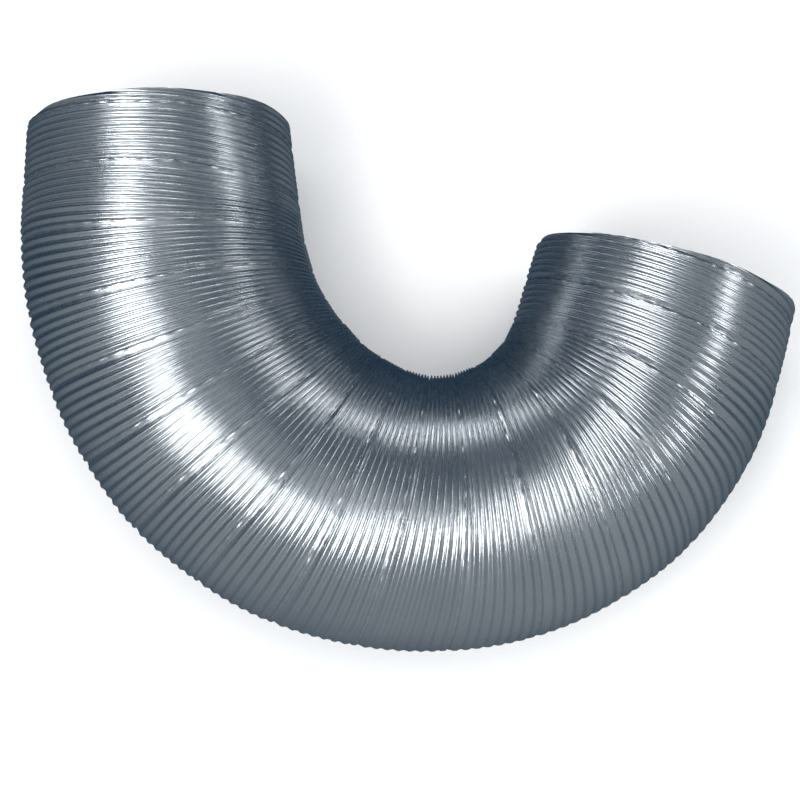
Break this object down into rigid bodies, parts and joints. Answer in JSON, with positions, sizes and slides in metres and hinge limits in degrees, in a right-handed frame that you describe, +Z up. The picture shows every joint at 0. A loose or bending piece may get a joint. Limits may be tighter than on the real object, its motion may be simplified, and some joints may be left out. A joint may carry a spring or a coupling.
{
  "type": "flexible air duct",
  "caption": "Semi-rigid corrugated aluminium ventilation duct, spiral wound with crimped lock seams, bent into a U, open at both ends.",
  "frame": {"origin": "centre of the bounding box, at the floor that the duct lies on", "axes": "+X across the two mouths, from the left leg to the right; +Y the way the left mouth faces; +Z up, across the tube"},
  "size_m": [0.3631, 0.2544, 0.1299],
  "materials": {
    "strip": "bright rolled",
    "seam": "bright rolled, crimped"
  },
  "bodies": {
    "mouth_a": {"turn_01": "strip", "lock_seam_01": "seam"},
    "coil_02": {"turn_02": "strip", "lock_seam_02": "seam"},
    "coil_03": {"turn_03": "strip", "lock_seam_03": "seam"},
    "coil_04": {"turn_04": "strip", "lock_seam_04": "seam"},
    "coil_05": {"turn_05": "strip", "lock_seam_05": "seam"},
    "coil_06": {"turn_06": "strip", "lock_seam_06": "seam"},
    "coil_07": {"turn_07": "strip", "lock_seam_07": "seam"},
    "coil_08": {"turn_08": "strip", "lock_seam_08": "seam"},
    "coil_09": {"turn_09": "strip", "lock_seam_09": "seam"},
    "coil_10": {"turn_10": "strip", "lock_seam_10": "seam"},
    "coil_11": {"turn_11": "strip", "lock_seam_11": "seam"},
    "coil_12": {"turn_12": "strip", "lock_seam_12": "seam"},
    "coil_13": {"turn_13": "strip", "lock_seam_13": "seam"},
    "coil_14": {"turn_14": "strip", "lock_seam_14": "seam"},
    "coil_15": {"turn_15": "strip", "lock_seam_15": "seam"},
    "mouth_b": {"turn_16": "strip", "lock_seam_16": "seam", "turn_17": "strip"}
  },
  "joints": [
    {"name": "stretch_02", "type": "slide", "parent": "coil_02", "child": "mouth_a", "axis": [0, 1, 0], "range_m": [-0.014, 0.012], "deforming": ["turn_02"]},
    {"name": "bend_03", "type": "hinge", "parent": "coil_03", "child": "coil_02", "pos_m": [-0.11686, 0.06619, 0.06495], "axis": [0, 0, 1], "range_deg": [-7.5, 9.1], "deforming": ["turn_03"]},
    {"name": "bend_04", "type": "hinge", "parent": "coil_04", "child": "coil_03", "pos_m": [-0.11274, 0.04046, 0.06495], "axis": [0, 0, 1], "range_deg": [-6.94, 9.66], "deforming": ["turn_04"]},
    {"name": "bend_05", "type": "hinge", "parent": "coil_05", "child": "coil_04", "pos_m": [-0.10436, 0.01578, 0.06495], "axis": [0, 0, 1], "range_deg": [-6.38, 10.22], "deforming": ["turn_05"]},
    {"name": "bend_06", "type": "hinge", "parent": "coil_06", "child": "coil_05", "pos_m": [-0.09173, -0.00703, 0.06495], "axis": [0, 0, 1], "range_deg": [-5.83, 10.78], "deforming": ["turn_06"]},
    {"name": "bend_07", "type": "hinge", "parent": "coil_07", "child": "coil_06", "pos_m": [-0.07505, -0.02708, 0.06495], "axis": [0, 0, 1], "range_deg": [-5.27, 11.33], "deforming": ["turn_07"]},
    {"name": "bend_08", "type": "hinge", "parent": "coil_08", "child": "coil_07", "pos_m": [-0.05475, -0.04347, 0.06495], "axis": [0, 0, 1], "range_deg": [-4.71, 11.89], "deforming": ["turn_08"]},
    {"name": "bend_09", "type": "hinge", "parent": "coil_09", "child": "coil_08", "pos_m": [-0.0315, -0.05533, 0.06495], "axis": [0, 0, 1], "range_deg": [-4.15, 12.45], "deforming": ["turn_09"]},
    {"name": "bend_10", "type": "hinge", "parent": "coil_09", "child": "coil_10", "pos_m": [-0.00623, -0.0619, 0.06495], "axis": [0, 0, -1], "range_deg": [-3.59, 13.01], "deforming": ["turn_10"]},
    {"name": "bend_11", "type": "hinge", "parent": "coil_10", "child": "coil_11", "pos_m": [0.01987, -0.06261, 0.06495], "axis": [0, 0, -1], "range_deg": [-3.03, 13.57], "deforming": ["turn_11"]},
    {"name": "bend_12", "type": "hinge", "parent": "coil_11", "child": "coil_12", "pos_m": [0.04543, -0.05718, 0.06495], "axis": [0, 0, -1], "range_deg": [-2.48, 14.12], "deforming": ["turn_12"]},
    {"name": "bend_13", "type": "hinge", "parent": "coil_12", "child": "coil_13", "pos_m": [0.0689, -0.04567, 0.06495], "axis": [0, 0, -1], "range_deg": [-1.92, 14.68], "deforming": ["turn_13"]},
    {"name": "bend_14", "type": "hinge", "parent": "coil_13", "child": "coil_14", "pos_m": [0.08869, -0.02858, 0.06495], "axis": [0, 0, -1], "range_deg": [-1.36, 15.24], "deforming": ["turn_14"]},
    {"name": "bend_15", "type": "hinge", "parent": "coil_14", "child": "coil_15", "pos_m": [0.1033, -0.00688, 0.06495], "axis": [0, 0, -1], "range_deg": [-0.8, 15.8], "deforming": ["turn_15"]},
    {"name": "stretch_16", "type": "slide", "parent": "coil_15", "child": "mouth_b", "axis": [0.3115, 0.9502, 0], "range_m": [-0.008, 0.018], "deforming": ["turn_16"]}
  ]
}
